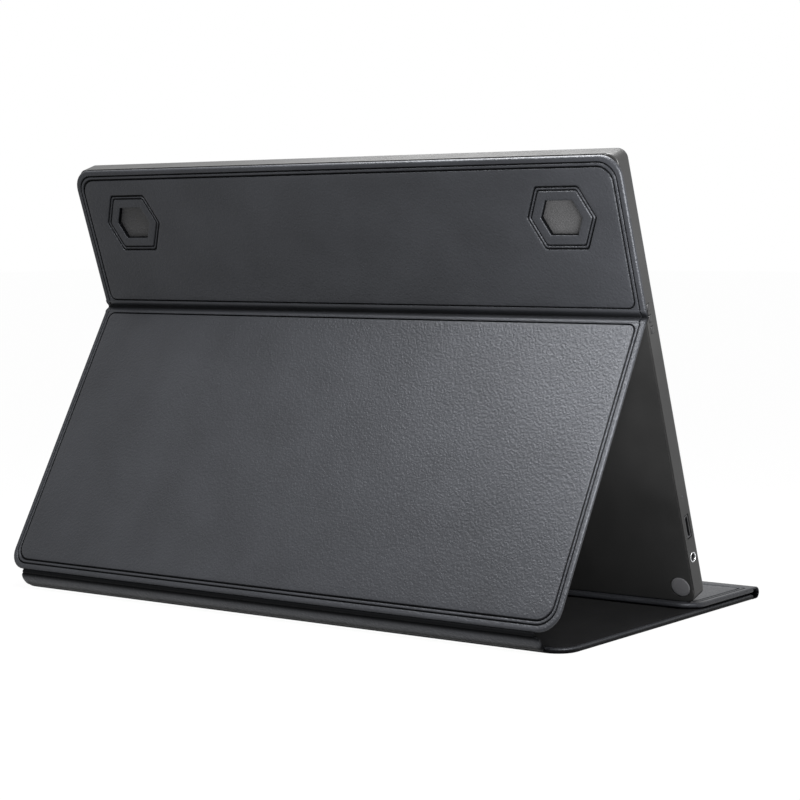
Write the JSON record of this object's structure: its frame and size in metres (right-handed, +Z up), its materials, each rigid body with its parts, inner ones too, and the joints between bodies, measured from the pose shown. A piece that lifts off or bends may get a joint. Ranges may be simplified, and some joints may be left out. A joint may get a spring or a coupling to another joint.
{
  "type": "portable monitor with cover",
  "caption": "Thin portable monitor standing in a padded folding cover, whose back folds out as a strut and whose front lies under it as a base with its flap turned back",
  "frame": {"origin": "on the table, in the middle of the stand's footprint", "axes": "+Z up, +X along the screen's width to its left edge seen from behind, -Y the way the screen faces"},
  "size_m": [0.3606, 0.1967, 0.2331],
  "materials": {
    "leather": "pebbled, satin",
    "housing": "gloss",
    "bezel": "satin",
    "screen": "anti-glare",
    "light_guide": "matte",
    "circuit_board": "satin",
    "chip": "matte",
    "steel": "brushed",
    "flex": "satin",
    "port_shell": "satin",
    "bright_ring": "polished",
    "black_plastic": "matte",
    "lamp": "clear",
    "button": "gloss",
    "rubber": "satin",
    "board": "grey fibreboard",
    "lining": "soft nap",
    "speaker_cloth": "fine weave",
    "magnet": "plated"
  },
  "bodies": {
    "base": {"base_leather": "leather", "base_board": "board", "base_lining": "lining", "base_magnets": "magnet", "fold_leather": "leather", "toe_leather": "leather"},
    "flap": {"flap_leather": "leather", "flap_board": "board", "flap_lining": "lining", "flap_magnets": "magnet"},
    "spine": {"spine_leather": "leather", "spine_board": "board"},
    "strut": {"strut_leather": "leather", "strut_board": "board", "strut_lining": "lining", "strut_magnets": "magnet", "heel_leather": "leather"},
    "monitor": {"rear_housing": "housing", "front_bezel": "bezel", "display_panel": "screen", "backlight": "light_guide", "driver_board": "circuit_board", "board_chips": "chip", "board_screws": "steel", "display_cable": "flex", "video_port": "port_shell", "sound_jack": "black_plastic", "jack_ring": "bright_ring", "usb_c_ports": "port_shell", "usb_board": "circuit_board", "lamp_pipe": "lamp", "button_board": "circuit_board", "tact_switches": "steel", "speaker_left": "black_plastic", "speaker_right": "black_plastic", "speaker_cloth": "speaker_cloth", "steel_strips": "steel", "corner_pads": "rubber", "upper_leather": "leather", "upper_board": "board", "upper_lining": "lining", "upper_magnets": "magnet", "crease_leather": "leather"},
    "power_button": {"power_button": "button"},
    "menu_up_button": {"menu_up_button": "button"},
    "menu_down_button": {"menu_down_button": "button"}
  },
  "joints": [
    {"name": "stand_fold", "type": "hinge", "parent": "base", "child": "spine", "pos_m": [0, 0.09044, 0.0014], "axis": [-1, 0, 0], "range_deg": [0, 49.74]},
    {"name": "heel_fold", "type": "hinge", "parent": "spine", "child": "strut", "pos_m": [0, 0.09768, 0.00995], "axis": [-1, 0, 0], "range_deg": [0, 70.46]},
    {"name": "crease_fold", "type": "hinge", "parent": "strut", "child": "monitor", "pos_m": [0, 0.0143, 0.15221], "axis": [1, 0, 0], "range_deg": [0, 48.5]},
    {"name": "flap_fold", "type": "hinge", "parent": "base", "child": "flap", "pos_m": [0, -0.0952, 0.0031], "axis": [1, 0, 0], "range_deg": [0, 180]},
    {"name": "power_press", "type": "slide", "parent": "monitor", "child": "power_button", "axis": [1, 0, 0], "range_m": [0, 0.0004], "stiffness_N_per_m": 2500},
    {"name": "menu_up_press", "type": "slide", "parent": "monitor", "child": "menu_up_button", "axis": [1, 0, 0], "range_m": [0, 0.0004], "stiffness_N_per_m": 2500},
    {"name": "menu_down_press", "type": "slide", "parent": "monitor", "child": "menu_down_button", "axis": [1, 0, 0], "range_m": [0, 0.0004], "stiffness_N_per_m": 2500}
  ],
  "couplings": [
    {"joint": "heel_fold", "follows": "stand_fold", "ratio": 1.4168},
    {"joint": "crease_fold", "follows": "stand_fold", "ratio": 0.97516},
    {"joint": "flap_fold", "follows": "stand_fold", "ratio": 3.6192}
  ]
}
